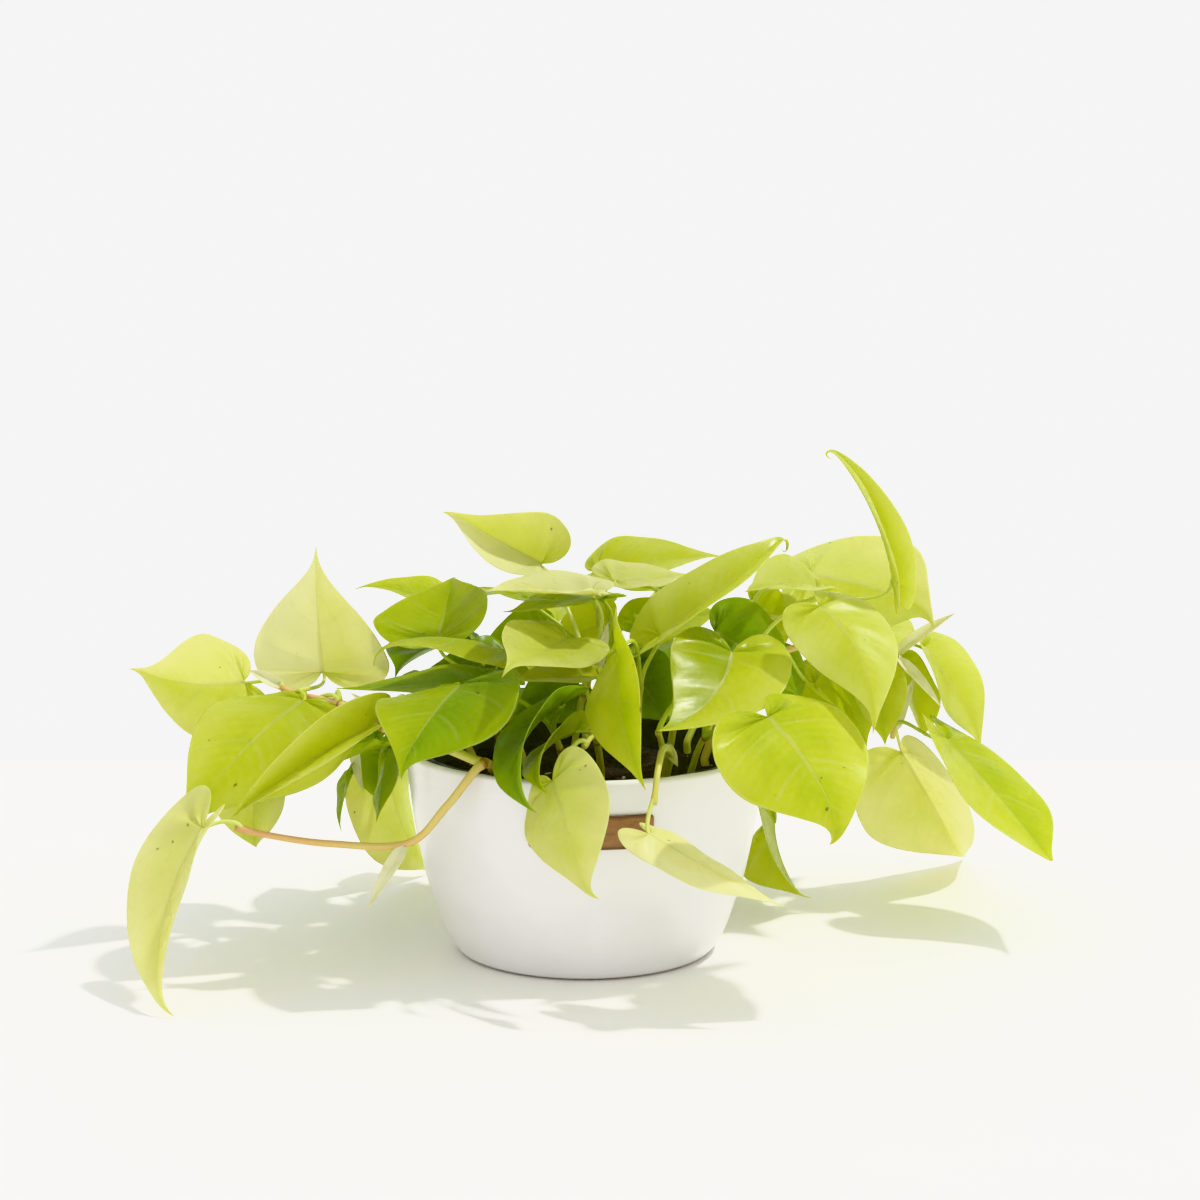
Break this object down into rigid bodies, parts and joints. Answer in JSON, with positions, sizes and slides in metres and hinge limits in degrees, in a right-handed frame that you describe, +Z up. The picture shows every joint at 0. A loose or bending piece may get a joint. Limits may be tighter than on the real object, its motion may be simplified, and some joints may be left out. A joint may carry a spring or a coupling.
{
  "type": "potted neon philodendron",
  "caption": "Climbing foliage plant with lime heart-shaped leaves on trailing stems, in a nursery pot set into a round glazed white pot with a plain front plate.",
  "frame": {"origin": "centre of the white pot's flat base", "axes": "+Z up, -Y towards the front where the plate is, +X to the right along the plant's longest spread"},
  "size_m": [0.479, 0.3237, 0.2592],
  "materials": {
    "glazed_ceramic": "glazed",
    "plate": "satin",
    "black_plastic": "satin",
    "soil": "rough",
    "foliage": "waxy"
  },
  "bodies": {
    "root": {"pot": "glazed_ceramic", "front_plate": "plate", "nursery_pot": "black_plastic", "soil": "soil", "vine_left": "foliage", "vine_left_inner": "foliage", "vine_back_left": "foliage", "vine_mid_left": "foliage", "vine_front_left": "foliage", "vine_top": "foliage", "vine_front": "foliage", "vine_centre": "foliage", "vine_front_right": "foliage", "vine_back_top": "foliage", "vine_mid_right": "foliage", "vine_upper_right": "foliage", "vine_right": "foliage", "vine_back_right": "foliage", "vine_back": "foliage"}
  },
  "joints": []
}
